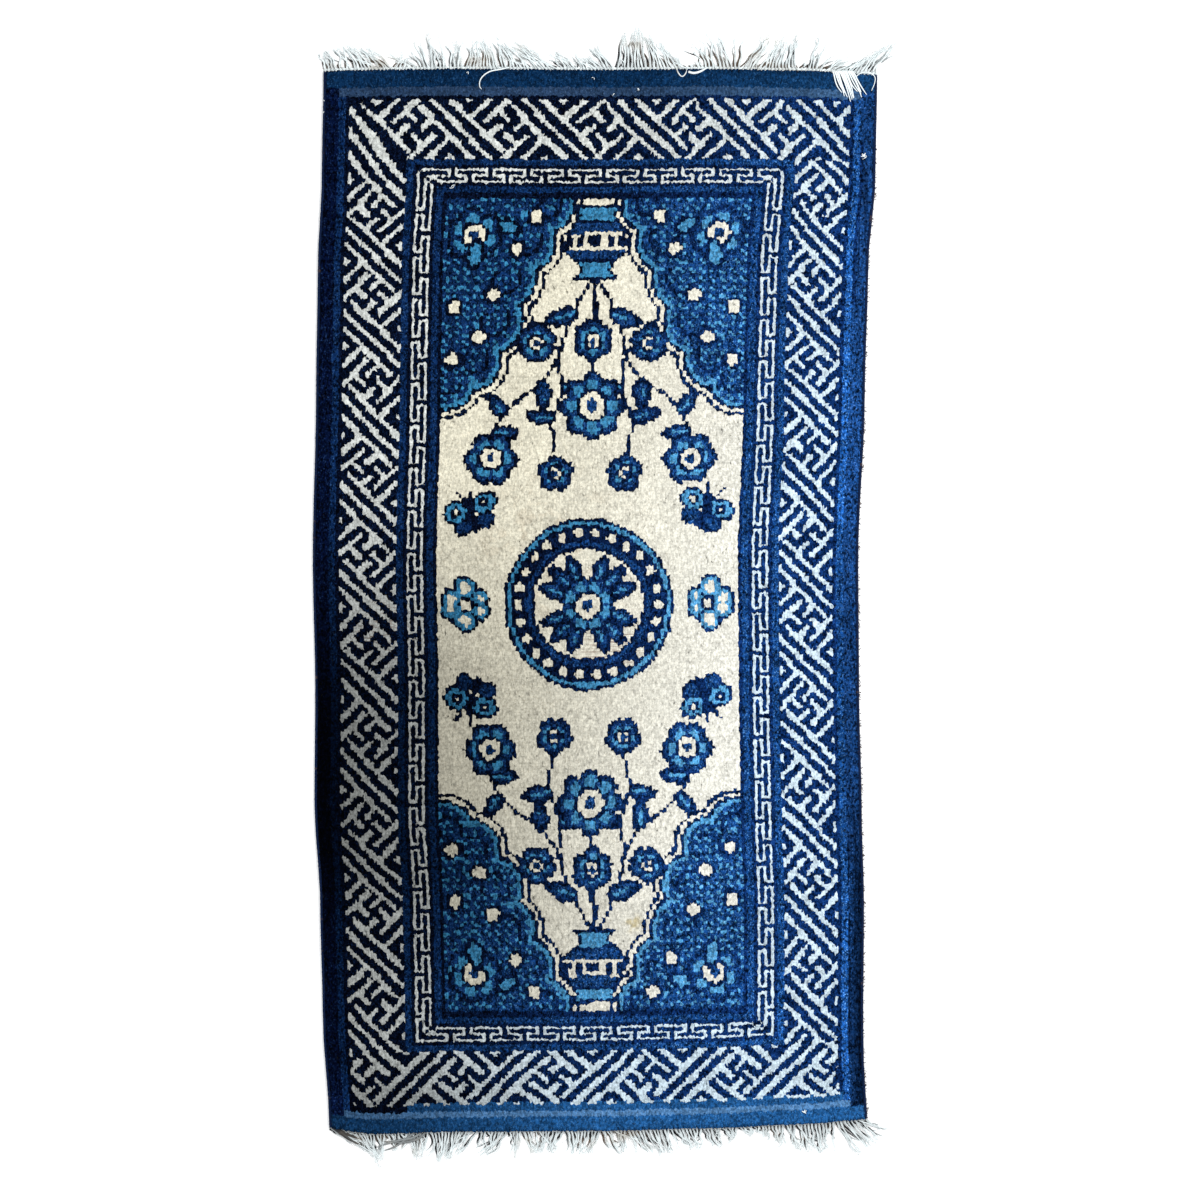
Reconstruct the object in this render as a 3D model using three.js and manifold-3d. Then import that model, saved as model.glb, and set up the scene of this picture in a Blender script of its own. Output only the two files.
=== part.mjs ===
// A small hand-knotted Chinese wool rug lying flat, 0.66 m wide and 1.29 m long without its fringes.
//
// The rug is woven in one piece. Cotton warps run its whole length, and rows of wool knots are tied
// on them and cut to a short, dense pile, so the knotted body is one flat solid with a soft edge.
// Its outline is that of an old rug: the sides bow a little, and the lower end runs out of square.
// At each end the bare warps stand out as a cotton fringe, in loose locks that lie on the floor.
//
// Millimetres, +Z up. +Y runs along the warps, +X across them, and the underside lies at z = 0.
// The origin is under the middle of the whole thing, fringes included.

import * as THREE from "three";
import { mergeVertices } from "three/addons/utils/BufferGeometryUtils.js";
import Module from "manifold-3d";

const wasm = await Module();
wasm.setup();

// The knotted body
const THICKNESS = 9; // foundation and pile together
const EDGE_ROUND = 2; // how far the pile falls away along the rim
const SIDE_STEPS = 36; // outline points along a long side
const END_STEPS = 24; // outline points along a short side

// How the long sides run, from the lower end to the upper: the height on the rug, the sideways drift
// of its middle line, and half its width there.
const SIDE_COURSE = [
  { along: -640, drift: 6, halfWidth: 324 },
  { along: -500, drift: 1, halfWidth: 327 },
  { along: -370, drift: 0, halfWidth: 329 },
  { along: -245, drift: -5, halfWidth: 331 },
  { along: -110, drift: -6, halfWidth: 329 },
  { along: 50, drift: -8, halfWidth: 330 },
  { along: 250, drift: -2, halfWidth: 332 },
  { along: 400, drift: 1, halfWidth: 333 },
  { along: 515, drift: 8, halfWidth: 335 },
  { along: 640, drift: 10, halfWidth: 335 },
];

// How the two ends run, from the left edge to the right: the place across as a share of half the
// width, and how high each end lies there.
const END_COURSE = [
  { across: -1, lower: -638, upper: 640 },
  { across: -0.86, lower: -646, upper: 642 },
  { across: -0.5, lower: -643, upper: 643 },
  { across: 0, lower: -642, upper: 642 },
  { across: 0.4, lower: -639, upper: 643 },
  { across: 0.75, lower: -634, upper: 641 },
  { across: 1, lower: -628, upper: 636 },
];

// The fringes
const WEB_DEPTH = 4; // strip of bare weft between the last knots and the loose warps
const WEB_HEIGHT = 2.4;
const WEB_GAP = 0.3;
const LOCK_COUNT = 112; // at each end
const LOCK_WIDTH = 2.6;
const LOCK_HEIGHT = 2.2;
const LOCK_STEPS = 4;
const LOCK_ROOT = 1.5; // how deep a lock starts inside its web
const TIP_SHARE = 0.45; // a lock's width at its tip against its width at the root
const RAGGED = 0.14; // how much one lock's length differs from its neighbours'
const RAGGED_TURN = 2.4; // radians from one lock to the next in that unevenness

// How the locks fall: the place across, the length reached outwards, and the sideways lean at the
// tip, as they were last brushed or trodden.
const UPPER_FALL = [
  { across: -1, reach: 20, lean: -20 },
  { across: -0.9, reach: 33, lean: -17 },
  { across: -0.78, reach: 24, lean: -14 },
  { across: -0.68, reach: 14, lean: -6 },
  { across: -0.6, reach: 40, lean: -4 },
  { across: -0.45, reach: 42, lean: -8 },
  { across: -0.25, reach: 28, lean: -20 },
  { across: 0.05, reach: 36, lean: -14 },
  { across: 0.3, reach: 22, lean: -8 },
  { across: 0.42, reach: 26, lean: 1 },
  { across: 0.55, reach: 42, lean: 4 },
  { across: 0.78, reach: 41, lean: 10 },
  { across: 0.88, reach: 16, lean: 14 },
  { across: 1, reach: 34, lean: 24 },
];
const LOWER_FALL = [
  { across: -1, reach: 18, lean: 10 },
  { across: -0.84, reach: 36, lean: 8 },
  { across: -0.6, reach: 34, lean: -8 },
  { across: -0.35, reach: 32, lean: -10 },
  { across: -0.1, reach: 36, lean: -4 },
  { across: 0.2, reach: 34, lean: 5 },
  { across: 0.42, reach: 26, lean: 9 },
  { across: 0.55, reach: 12, lean: 8 },
  { across: 0.68, reach: 34, lean: 12 },
  { across: 0.85, reach: 36, lean: 12 },
  { across: 1, reach: 24, lean: 22 },
];

const WOOL = 0x8a95ad; // ivory field and blue borders together
const COTTON = 0xe4e0d4;

// A table's column at any place, eased between its rows.
function follow(table, placeColumn, valueColumn, place) {
  const last = table.length - 1;
  let i = 0;
  while (i < last - 1 && place > table[i + 1][placeColumn]) i += 1;
  const low = table[i];
  const high = table[i + 1];
  const share = (place - low[placeColumn]) / (high[placeColumn] - low[placeColumn]);
  const eased = THREE.MathUtils.smoothstep(share, 0, 1);
  return THREE.MathUtils.lerp(low[valueColumn], high[valueColumn], eased);
}

// A point of the rug's plane: across from -1 at the left edge to 1 at the right, along from -1 at
// the lower end to 1 at the upper.
function onRug(across, along) {
  const lower = follow(END_COURSE, "across", "lower", across);
  const upper = follow(END_COURSE, "across", "upper", across);
  const y = THREE.MathUtils.lerp(lower, upper, (along + 1) / 2);
  const drift = follow(SIDE_COURSE, "along", "drift", y);
  const halfWidth = follow(SIDE_COURSE, "along", "halfWidth", y);
  return new THREE.Vector2(drift + across * halfWidth, y);
}

// Points along one edge of the rug, from one corner to just before the next.
function edgePoints(steps, from, to) {
  const points = [];
  for (let i = 0; i < steps; i += 1) {
    const at = from.clone().lerp(to, i / steps);
    points.push(onRug(at.x, at.y));
  }
  return points;
}

function bodyGeometry() {
  const corners = [
    new THREE.Vector2(-1, -1),
    new THREE.Vector2(1, -1),
    new THREE.Vector2(1, 1),
    new THREE.Vector2(-1, 1),
  ];
  const outline = corners.flatMap((corner, i) => {
    const steps = i % 2 === 0 ? END_STEPS : SIDE_STEPS;
    return edgePoints(steps, corner, corners[(i + 1) % corners.length]);
  });
  const geometry = new THREE.ExtrudeGeometry(new THREE.Shape(outline), {
    depth: THICKNESS - 2 * EDGE_ROUND,
    bevelThickness: EDGE_ROUND,
    bevelSize: EDGE_ROUND,
    bevelOffset: -EDGE_ROUND,
    bevelSegments: 2,
  });
  return geometry.translate(0, 0, EDGE_ROUND);
}

function solidOf(geometry) {
  const bare = geometry.clone();
  bare.deleteAttribute("normal");
  bare.deleteAttribute("uv");
  const merged = mergeVertices(bare, 1e-4);
  return new wasm.Manifold(
    new wasm.Mesh({
      numProp: 3,
      vertProperties: new Float32Array(merged.attributes.position.array),
      triVerts: new Uint32Array(merged.index.array),
    }),
  );
}

function geometryOf(solid) {
  const mesh = solid.getMesh();
  const geometry = new THREE.BufferGeometry();
  geometry.setAttribute("position", new THREE.BufferAttribute(mesh.vertProperties, 3));
  geometry.setIndex(new THREE.BufferAttribute(mesh.triVerts, 1));
  return geometry;
}

// The strip of weft outside the last knots, as one solid that follows the end of the rug.
function webGeometry(end) {
  const inner = [];
  const outer = [];
  for (let i = 0; i <= END_STEPS; i += 1) {
    const at = onRug(-1 + (2 * i) / END_STEPS, end);
    inner.push(new THREE.Vector2(at.x, at.y + end * WEB_GAP));
    outer.unshift(new THREE.Vector2(at.x, at.y + end * (WEB_GAP + WEB_DEPTH)));
  }
  return new THREE.ExtrudeGeometry(new THREE.Shape([...inner, ...outer]), {
    depth: WEB_HEIGHT,
    bevelEnabled: false,
  });
}

// One lock: a three-sided strand, flat on the floor, that starts inside the web and curves to its
// tip. The ring of three points is repeated along it, and its two ends are closed.
function lockGeometry(index, end, fall) {
  const across = -1 + (2 * (index + 0.5)) / LOCK_COUNT;
  const root = onRug(across, end);
  const uneven = 1 + RAGGED * Math.sin(index * RAGGED_TURN);
  const reach = follow(fall, "across", "reach", across) * uneven;
  const lean = follow(fall, "across", "lean", across) * uneven;
  const start = WEB_GAP + WEB_DEPTH - LOCK_ROOT;
  const positions = [];
  for (let i = 0; i <= LOCK_STEPS; i += 1) {
    const share = i / LOCK_STEPS;
    const width = LOCK_WIDTH * THREE.MathUtils.lerp(1, TIP_SHARE, share);
    const height = LOCK_HEIGHT * THREE.MathUtils.lerp(1, TIP_SHARE, share);
    const x = root.x + lean * share * share;
    const y = root.y + end * (start + (reach - start) * share);
    positions.push(x - width / 2, y, 0, x + width / 2, y, 0, x, y, height);
  }
  const faces = [];
  for (let i = 0; i < LOCK_STEPS; i += 1) {
    for (let side = 0; side < 3; side += 1) {
      const a = 3 * i + side;
      const b = 3 * i + ((side + 1) % 3);
      faces.push(a, b, b + 3, a, b + 3, a + 3);
    }
  }
  const tip = 3 * LOCK_STEPS;
  faces.push(0, 2, 1, tip, tip + 1, tip + 2);
  if (end > 0) {
    for (let i = 0; i < faces.length; i += 3) {
      [faces[i + 1], faces[i + 2]] = [faces[i + 2], faces[i + 1]];
    }
  }
  const geometry = new THREE.BufferGeometry();
  geometry.setAttribute("position", new THREE.Float32BufferAttribute(positions, 3));
  geometry.setIndex(faces);
  return geometry;
}

function fringeGeometry(end, fall) {
  let fringe = solidOf(webGeometry(end));
  for (let i = 0; i < LOCK_COUNT; i += 1) {
    fringe = fringe.add(solidOf(lockGeometry(i, end, fall)));
  }
  return geometryOf(fringe);
}

function piece(name, geometry, material) {
  const mesh = new THREE.Mesh(geometry, material);
  mesh.name = name;
  return mesh;
}

const wool = new THREE.MeshStandardMaterial({ color: WOOL, roughness: 0.95, metalness: 0 });
const cotton = new THREE.MeshStandardMaterial({ color: COTTON, roughness: 0.9, metalness: 0 });

const pieces = new THREE.Group();
pieces.add(piece("rug_body", bodyGeometry(), wool));
pieces.add(piece("fringe_upper", fringeGeometry(1, UPPER_FALL), cotton));
pieces.add(piece("fringe_lower", fringeGeometry(-1, LOWER_FALL), cotton));

// The frame's origin lies under the middle of everything.
const middle = new THREE.Box3().setFromObject(pieces).getCenter(new THREE.Vector3());
pieces.position.set(-middle.x, -middle.y, 0);

const rug = new THREE.Group();
rug.add(pieces);

export default rug;
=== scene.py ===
import math

import bmesh
import bpy
import numpy as np
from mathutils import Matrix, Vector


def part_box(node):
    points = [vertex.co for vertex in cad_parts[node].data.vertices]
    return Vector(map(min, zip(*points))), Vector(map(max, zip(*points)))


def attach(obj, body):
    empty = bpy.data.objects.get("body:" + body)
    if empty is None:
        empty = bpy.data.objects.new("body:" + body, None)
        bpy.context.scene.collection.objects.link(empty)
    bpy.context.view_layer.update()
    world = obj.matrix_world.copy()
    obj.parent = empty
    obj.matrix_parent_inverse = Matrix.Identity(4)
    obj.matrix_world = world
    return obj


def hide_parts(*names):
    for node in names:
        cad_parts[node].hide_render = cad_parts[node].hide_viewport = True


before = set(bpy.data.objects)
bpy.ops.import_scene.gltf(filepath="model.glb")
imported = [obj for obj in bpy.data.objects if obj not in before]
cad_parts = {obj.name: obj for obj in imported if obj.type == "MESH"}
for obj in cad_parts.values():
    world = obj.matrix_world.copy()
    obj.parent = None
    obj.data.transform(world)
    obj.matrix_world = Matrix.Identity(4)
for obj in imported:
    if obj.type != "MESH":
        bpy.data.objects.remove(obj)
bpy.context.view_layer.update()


# The camera
# It looks straight down on the rug from high up, as in the photograph, whose frame is 1.45 m wide
# on the floor. The middle of the frame lies a little to the right of the rug's and above it.
FRAME_WIDTH = 1.450
FRAME_ASIDE = 0.006
FRAME_UP = 0.0018
CAMERA_HEIGHT = 6.0
SENSOR = 36.0

body_low, body_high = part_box("rug_body")
body_middle = (body_low + body_high) / 2
camera = bpy.data.objects.new("camera", bpy.data.cameras.new("camera"))
camera.data.sensor_width = SENSOR
camera.data.lens = SENSOR * CAMERA_HEIGHT / FRAME_WIDTH
camera.data.clip_end = 100
camera.location = (body_middle.x + FRAME_ASIDE, body_middle.y + FRAME_UP, body_high.z + CAMERA_HEIGHT)
bpy.context.scene.collection.objects.link(camera)
bpy.context.scene.camera = camera


# The floor and the light
# A plain pale floor, a large soft lamp high on the right, a weaker one on the left, and a pale
# room all round.
FLOOR_SIZE = 60
ROOM_COLOUR = (0.95, 0.97, 1.0, 1.0)
ROOM_LIGHT = 0.6
LAMPS = [
    {"name": "window", "place": (1.7, 0.9, 2.6), "size": 1.6, "power": 88},
    {"name": "fill", "place": (-1.3, -0.7, 3.2), "size": 3.0, "power": 62},
]


class Part:
    """One socket of a material, which can stand in a sum like a number."""

    def __init__(self, recipe, socket):
        self.recipe = recipe
        self.socket = socket

    def __add__(self, other):
        return self.recipe.maths("ADD", self, other)

    def __sub__(self, other):
        return self.recipe.maths("SUBTRACT", self, other)

    def __rsub__(self, other):
        return self.recipe.maths("SUBTRACT", other, self)

    def __mul__(self, other):
        return self.recipe.maths("MULTIPLY", self, other)

    def __truediv__(self, other):
        return self.recipe.maths("DIVIDE", self, other)

    def __pow__(self, other):
        return self.recipe.maths("POWER", self, other)

    __radd__ = __add__
    __rmul__ = __mul__


class Recipe:
    """A material made of nodes round one Principled shader."""

    def __init__(self, name, constants):
        self.material = bpy.data.materials.new(name)
        self.material.use_nodes = True
        self.tree = self.material.node_tree
        self.shader = self.tree.nodes["Principled BSDF"]
        for socket, value in constants.items():
            self.shader.inputs[socket].default_value = value

    def join(self, socket, value):
        if isinstance(value, Part):
            self.tree.links.new(value.socket, socket)
        else:
            socket.default_value = value

    def add(self, kind, settings, sockets, output=0):
        node = self.tree.nodes.new(kind)
        for setting, value in settings.items():
            setattr(node, setting, value)
        for socket, value in sockets.items():
            self.join(node.inputs[socket], value)
        return Part(self, node.outputs[output])

    def maths(self, operation, *values):
        return self.add("ShaderNodeMath", {"operation": operation}, dict(enumerate(values)))

    def split(self, vector):
        """The three numbers that make up a vector."""
        first = self.add("ShaderNodeSeparateXYZ", {}, {0: vector})
        return [Part(self, output) for output in first.socket.node.outputs]

    def surface(self):
        """The point on the surface in metres."""
        return self.add("ShaderNodeTexCoord", {}, {}, "Object")

    def noise(self, stretch, detail=2.0, roughness=0.5):
        """Cloudy unevenness, with so many bumps a metre along each of the three axes."""
        settings = {"operation": "MULTIPLY"}
        place = self.add("ShaderNodeVectorMath", settings, {0: self.surface(), 1: stretch})
        sockets = {"Vector": place, "Scale": 1.0, "Detail": detail, "Roughness": roughness}
        return self.add("ShaderNodeTexNoise", {"noise_dimensions": "3D"}, sockets)

    def between(self, value, low, high, to_low=0.0, to_high=1.0):
        """The value's run from low to high, spread smoothly over to_low to to_high."""
        sockets = {"Value": value, 1: low, 2: high, 3: to_low, 4: to_high}
        return self.add("ShaderNodeMapRange", {"interpolation_type": "SMOOTHSTEP"}, sockets)

    def mix(self, share, first, second):
        return self.add("ShaderNodeMix", {"data_type": "RGBA"}, {0: share, 6: first, 7: second}, 2)

    def deepen(self, colour, depth):
        return self.add("ShaderNodeVectorMath", {"operation": "SCALE"}, {0: colour, "Scale": depth})

    def finish(self, sockets):
        for socket, value in sockets.items():
            self.join(self.shader.inputs[socket], value)
        return self.material


def from_srgb(red, green, blue):
    """A colour as it looks in a picture, 0 to 255, in the shader's linear terms."""
    shares = np.array([red, green, blue]) / 255
    linear = np.where(shares < 0.04045, shares / 12.92, ((shares + 0.055) / 1.055) ** 2.4)
    return (*linear.tolist(), 1.0)


def piece(name, points, faces, material, slot=None):
    """A mesh object from arrays of points and of faces with the same number of corners."""
    mesh = bpy.data.meshes.new(name)
    corners = faces.shape[1]
    mesh.vertices.add(len(points))
    mesh.vertices.foreach_set("co", points.astype(np.float32).ravel())
    mesh.loops.add(faces.size)
    mesh.loops.foreach_set("vertex_index", faces.astype(np.int32).ravel())
    mesh.polygons.add(len(faces))
    mesh.polygons.foreach_set("loop_start", np.arange(0, faces.size, corners, dtype=np.int32))
    mesh.materials.append(material)
    mesh.update(calc_edges=True)
    made = bpy.data.objects.new(name, mesh)
    bpy.context.scene.collection.objects.link(made)
    if slot:
        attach(made, "root")
    return made


paint = Recipe("floor paint", {"Roughness": 0.9})
tone = paint.noise((2, 2, 2))
pale = paint.mix(tone, from_srgb(250, 250, 249), from_srgb(244, 244, 244))
floor_corners = [(-1, -1, 0), (1, -1, 0), (1, 1, 0), (-1, 1, 0)]
floor_points = np.array(floor_corners) * FLOOR_SIZE / 2
floor = piece("floor", floor_points, np.array([[0, 1, 2, 3]]), paint.finish({"Base Color": pale}))

for lamp in LAMPS:
    light = bpy.data.lights.new(lamp["name"], "AREA")
    light.shape = "DISK"
    light.size = lamp["size"]
    light.energy = lamp["power"]
    holder = bpy.data.objects.new(lamp["name"], light)
    holder.location = lamp["place"]
    aim = body_middle - holder.location
    holder.rotation_euler = aim.to_track_quat("-Z", "Y").to_euler()
    bpy.context.scene.collection.objects.link(holder)

room = bpy.data.worlds.new("room")
bpy.context.scene.world = room
room.use_nodes = True
backdrop = room.node_tree.nodes["Background"]
backdrop.inputs["Color"].default_value = ROOM_COLOUR
backdrop.inputs["Strength"].default_value = ROOM_LIGHT
bpy.context.scene.view_settings.view_transform = "Standard"


# The weaver's chart
# A hand-knotted rug is worked row by row from a chart with one square for each knot. The chart
# gives each knot its yarn, and the sections after this one draw the borders and the field on it.
KNOTS_ACROSS = 160
ROWS = 352
NAVY, DENIM, LILAC, BLUE, SKY, IVORY, CREAM, INDIGO = range(8)

column, row = np.meshgrid(np.arange(KNOTS_ACROSS), np.arange(ROWS))
chart = np.full((ROWS, KNOTS_ACROSS), NAVY)


def wander(seed, step, size):
    """Smooth unevenness over the chart, up to about size either way, with bumps of step knots."""
    draw = np.random.default_rng(seed)
    grid = draw.uniform(-size, size, (ROWS // step + 3, KNOTS_ACROSS // step + 3))
    i, j = row // step, column // step
    down, across = row / step - i, column / step - j
    down = down**2 * (3 - 2 * down)
    across = across**2 * (3 - 2 * across)
    upper = grid[i, j] * (1 - across) + grid[i, j + 1] * across
    lower = grid[i + 1, j] * (1 - across) + grid[i + 1, j + 1] * across
    return upper * (1 - down) + lower * down


# The bands of the border
# Plain bands run round the rug on both sides of the two patterned ones. Along the sides the outer
# ones are navy and blue, and across the ends the weaver changed to two lighter yarns.
# Each band's name, its yarns along the sides and across the ends, and how many knots wide it is on
# the left, on the right, at the top and at the bottom.
BANDS = [
    ("outer", INDIGO, DENIM, (4, 4, 6, 5)),
    ("stripe", BLUE, LILAC, (2, 2, 3, 2)),
    ("line", NAVY, NAVY, (1, 1, 1, 2)),
    ("fret", NAVY, NAVY, (17, 16, 20, 18)),
    ("blue line", BLUE, BLUE, (2, 2, 2, 2)),
    ("key", NAVY, NAVY, (7, 7, 7, 7)),
    ("guard", BLUE, BLUE, (2, 2, 2, 2)),
    ("shadow", NAVY, NAVY, (1, 1, 2, 2)),
]

far_column = KNOTS_ACROSS - 1 - column
far_row = ROWS - 1 - row


def within(left, right, upper, lower):
    return (column >= left) & (far_column >= right) & (row >= upper) & (far_row >= lower)


starts = {}
inset = np.zeros(4, int)
for name, side_yarn, end_yarn, knots in BANDS:
    starts[name] = inset.copy()
    chart[within(*inset)] = side_yarn
    at_ends = (row < inset[2] + knots[2]) | (far_row < inset[3] + knots[3])
    chart[within(*inset) & at_ends] = end_yarn
    inset += knots
field = within(*inset)

# The line inside the lower stripe is lighter, all but its last knots on the left and the right.
LIGHT_FROM = 22
LIGHT_TO = 5
light_line = (far_row <= starts["fret"][3]) & (column > LIGHT_FROM) & (far_column > LIGHT_TO)
chart[light_line & (chart == NAVY)] = DENIM

# The shade of a crease in the upper right side is painted into the chart as one dark line of knots.
CREASE_SHADE_AT = 3
CREASE_SHADE_ROWS = (22, 78)
crease_shade = CREASE_SHADE_AT + np.round(wander(2, 14, 0.6))
chart[(far_column == crease_shade) & (row > CREASE_SHADE_ROWS[0]) & (row < CREASE_SHADE_ROWS[1])] = NAVY


# The fret border
# White and navy strokes about three knots wide run slantwise between the edges of the band and hook
# into each other. One unit is charted here, and it repeats along each side, stretched to fit.
FRET_UNIT = 30.0
FRET_DEPTH = 20.0
FRET_STROKE = 1.3
LOWER_STROKE = 1.45
FRET_SLACK = 0.4

# For each stroke, the way that it slants, how far along the unit it lies, and how deep in the band
# it starts and ends. The teeth are the small white points between the strokes: how deep in the band
# each stands, and how far along the unit.
FRET = [
    (1, 0, 0, 20),
    (1, 6, 0, 17),
    (1, 12, 12, 15.75),
    (1, 18, 3.75, 7.5),
    (1, 24, 2.6, 20),
    (-1, 19.5, 0, 6.75),
    (-1, 25.5, 0, 8),
    (-1, 31.5, 9, 12.75),
    (-1, 37.5, 6.75, 10.5),
    (-1, 43.5, 12, 20),
    (-1, 49.5, 12.75, 20),
]
FRET_TEETH = [(0.0, 12.7), (FRET_DEPTH, 36.6)]
FRET_TOOTH = 2.1

# Where each border has its teeth, in knots from the left or the top: those on its outer edge, but
# on the right those on its inner edge.
TEETH = {
    "left": [-40, -1.5, 36.5, 63.9, 91.7, 121, 149, 178.1, 208, 238.3, 267.4, 296.5, 325.6, 354.7],
    "right": [30.5, 58.9, 87.3, 115, 144, 172.7, 200.6, 229.4, 258.6, 288.2, 317.8, 347.4],
    "upper": [-19.6, 15.3, 41.9, 69.6, 96.5, 122.7, 149, 175.3],
    "lower": [1.6, 29, 56.4, 85, 111.8, 139.8, 167.8],
}

# The left border's fret starts here, past the corner, and this is its first stroke.
LEFT_START = 51.5
FIRST_STROKE = 54.0


def nearest(distance, unit):
    return (distance + unit / 2) % unit - unit / 2


def fret(depth, along, half):
    """Where the fret is white, by the place across its band, along it and half a stroke's width."""
    white = np.zeros(depth.shape, bool)
    for slope, offset, start, end in FRET:
        off = nearest(along - slope * depth - offset, FRET_UNIT)
        place = depth + slope * off / 2
        white |= (np.abs(off) < half) & (place > start - FRET_SLACK) & (place < end + FRET_SLACK)
    for deep, at in FRET_TEETH:
        white |= np.abs(depth - deep) + np.abs(nearest(along - at, FRET_UNIT)) < FRET_TOOTH
    return white


def paced(place, side):
    """The place along a side in the fret's own measure, which has one tooth in every unit."""
    teeth = TEETH[side]
    return FRET_TEETH[0][1] + FRET_UNIT * np.interp(place + 0.5, teeth, range(len(teeth)))


outer_left, outer_right, outer_upper, outer_lower = starts["fret"]
inner_left, inner_right, inner_upper, inner_lower = starts["blue line"]
fret_band = within(*starts["fret"]) & ~within(*starts["blue line"])
left_depth = (column - outer_left + 0.5) * FRET_DEPTH / (inner_left - outer_left)
right_depth = (inner_right - far_column - 0.5) * FRET_DEPTH / (inner_right - outer_right)
upper_depth = (row - outer_upper + 0.5) * FRET_DEPTH / (inner_upper - outer_upper)
lower_depth = (far_row - outer_lower + 0.5) * FRET_DEPTH / (inner_lower - outer_lower)
left_along = paced(row, "left")
left_corner = left_along - left_depth > LEFT_START
sweeps = [
    (far_column < inner_right, right_depth, paced(row, "right"), FRET_STROKE),
    (row < inner_upper, upper_depth, paced(column, "upper"), FRET_STROKE),
    ((column < inner_left) & left_corner, left_depth, left_along, FRET_STROKE),
    (far_row < inner_lower, lower_depth, paced(column, "lower"), LOWER_STROKE),
]
across_wander = wander(3, 9, 0.4)
along_wander = wander(4, 9, 0.5)
for where, depth, along, half in sweeps:
    white = fret(depth + across_wander, along + along_wander, half)
    chart[fret_band & where & ~light_line] = NAVY
    chart[fret_band & where & white] = IVORY

# The left border's first stroke starts right at its edge and swells half way.
FIRST_ROWS = 12
FIRST_CLEAR = (-5, 3.4)
FIRST_SWELL = 1.2
SWELL_SPREAD = 4
from_first = left_along - left_depth + wander(5, 9, 0.4) - FIRST_STROKE
at_first = fret_band & (column < inner_left) & (row < inner_upper + FIRST_ROWS)
at_first &= (from_first > FIRST_CLEAR[0]) & (from_first < FIRST_CLEAR[1])
chart[at_first] = NAVY
from_middle = (left_depth - FRET_DEPTH / 2) / SWELL_SPREAD
swollen = FRET_STROKE + FIRST_SWELL * np.exp(-(from_middle**2))
chart[at_first & (np.abs(from_first) < swollen)] = IVORY


# The key border
# A single line of white knots doubles back on itself all the way round, on navy. It turns each
# corner with an outer elbow and two white wedges inside it.
KEY_DEEP = 7
WEDGE_REACH = 11
KEY_LEGS = (5, 10)

# The first knot and the length of a unit, and its white runs in each line from the outer one in.
KEY_SIDES = {
    "first": 2,
    "unit": 14,
    "white": [[(0, 13)], [(0, 1), (12, 13)], [(0, 6), (7, 13)], [(5, 6), (7, 8)], [(0, 6), (7, 14)]],
}
KEY_ENDS = {
    "first": 1,
    "unit": 11,
    "white": [[(0, 10)], [(0, 1), (9, 10)], [(0, 4), (5, 10)], [(3, 4), (5, 6)], [(0, 4), (5, 11)]],
}

left, right, upper, lower = starts["key"]
inward = np.stack([column - left, far_column - right, row - upper, far_row - lower])
depth = inward.min(axis=0)
at_side = inward.argmin(axis=0) < 2
for key, where, place in ((KEY_SIDES, at_side, inward[2]), (KEY_ENDS, ~at_side, inward[0])):
    step = (place - key["first"]) % key["unit"]
    for line, runs in enumerate(key["white"], 1):
        for start, end in runs:
            chart[where & (depth == line) & (step >= start) & (step < end)] = IVORY

# The corners. The two lines next to each wedge run on into it.
aside = np.minimum(inward[0], inward[1])
inside = np.minimum(inward[2], inward[3])
elbow = (aside < KEY_DEEP) & (inside < KEY_DEEP) & (depth > 1)
chart[elbow] = NAVY
chart[elbow & (depth > 2) & (aside + inside < WEDGE_REACH) & (aside != inside)] = IVORY
legs = at_side & (inside > KEY_LEGS[0]) & (inside < KEY_LEGS[1])
chart[legs & (depth == 4)] = NAVY
chart[legs & ((depth == 3) | (depth == 5))] = IVORY
key_band = within(*starts["key"]) & ~within(*starts["guard"])


# The field
# The middle of the rug is ivory. Its flowers, vases, clouds and butterflies are the usual figures
# of such rugs, in a layout of this part's own, worked as one quarter and mirrored both ways.
# Places and sizes are in millimetres from the middle of the field.
KNOT_WIDE = 660 / KNOTS_ACROSS
KNOT_HIGH = 1285 / ROWS
OUTLINE = 4.2

middle_column = (inset[0] + KNOTS_ACROSS - inset[1]) / 2
middle_row = (inset[2] + ROWS - inset[3]) / 2
x = np.abs((column + 0.5 - middle_column) * KNOT_WIDE + wander(11, 10, 1.5))
y = np.abs((middle_row - row - 0.5) * KNOT_HIGH + wander(12, 10, 1.8))
field_wide = (KNOTS_ACROSS - inset[0] - inset[1]) / 2 * KNOT_WIDE
field_high = (ROWS - inset[2] - inset[3]) / 2 * KNOT_HIGH


def knot(where, yarn):
    chart[field & where] = yarn


def turned(at, turn):
    """The chart's places seen from a point, along a direction in degrees and square to it."""
    angle = math.radians(turn)
    right, up = x - at[0], y - at[1]
    along = right * math.cos(angle) + up * math.sin(angle)
    return along, up * math.cos(angle) - right * math.sin(angle)


def disc(at, radius):
    return np.hypot(x - at[0], y - at[1]) < radius


def petal(at, turn, length, width, grow=0.0):
    along, across = turned(at, turn)
    share = np.clip((along + grow) / (length + 2 * grow), 0, 1)
    half = width / 2 * np.sin(math.pi * share**0.8) + grow * (share > 0) * (share < 1)
    return (share > 0) & (share < 1) & (np.abs(across) < half)


def leaf(at, turn, length, width, yarn=BLUE):
    knot(petal(at, turn, length, width, OUTLINE), NAVY)
    knot(petal(at, turn, length, width), yarn)
    along, across = turned(at, turn)
    knot((np.abs(across) < 1.7) & (along > 0) & (along < 0.7 * length), SKY)


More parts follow.
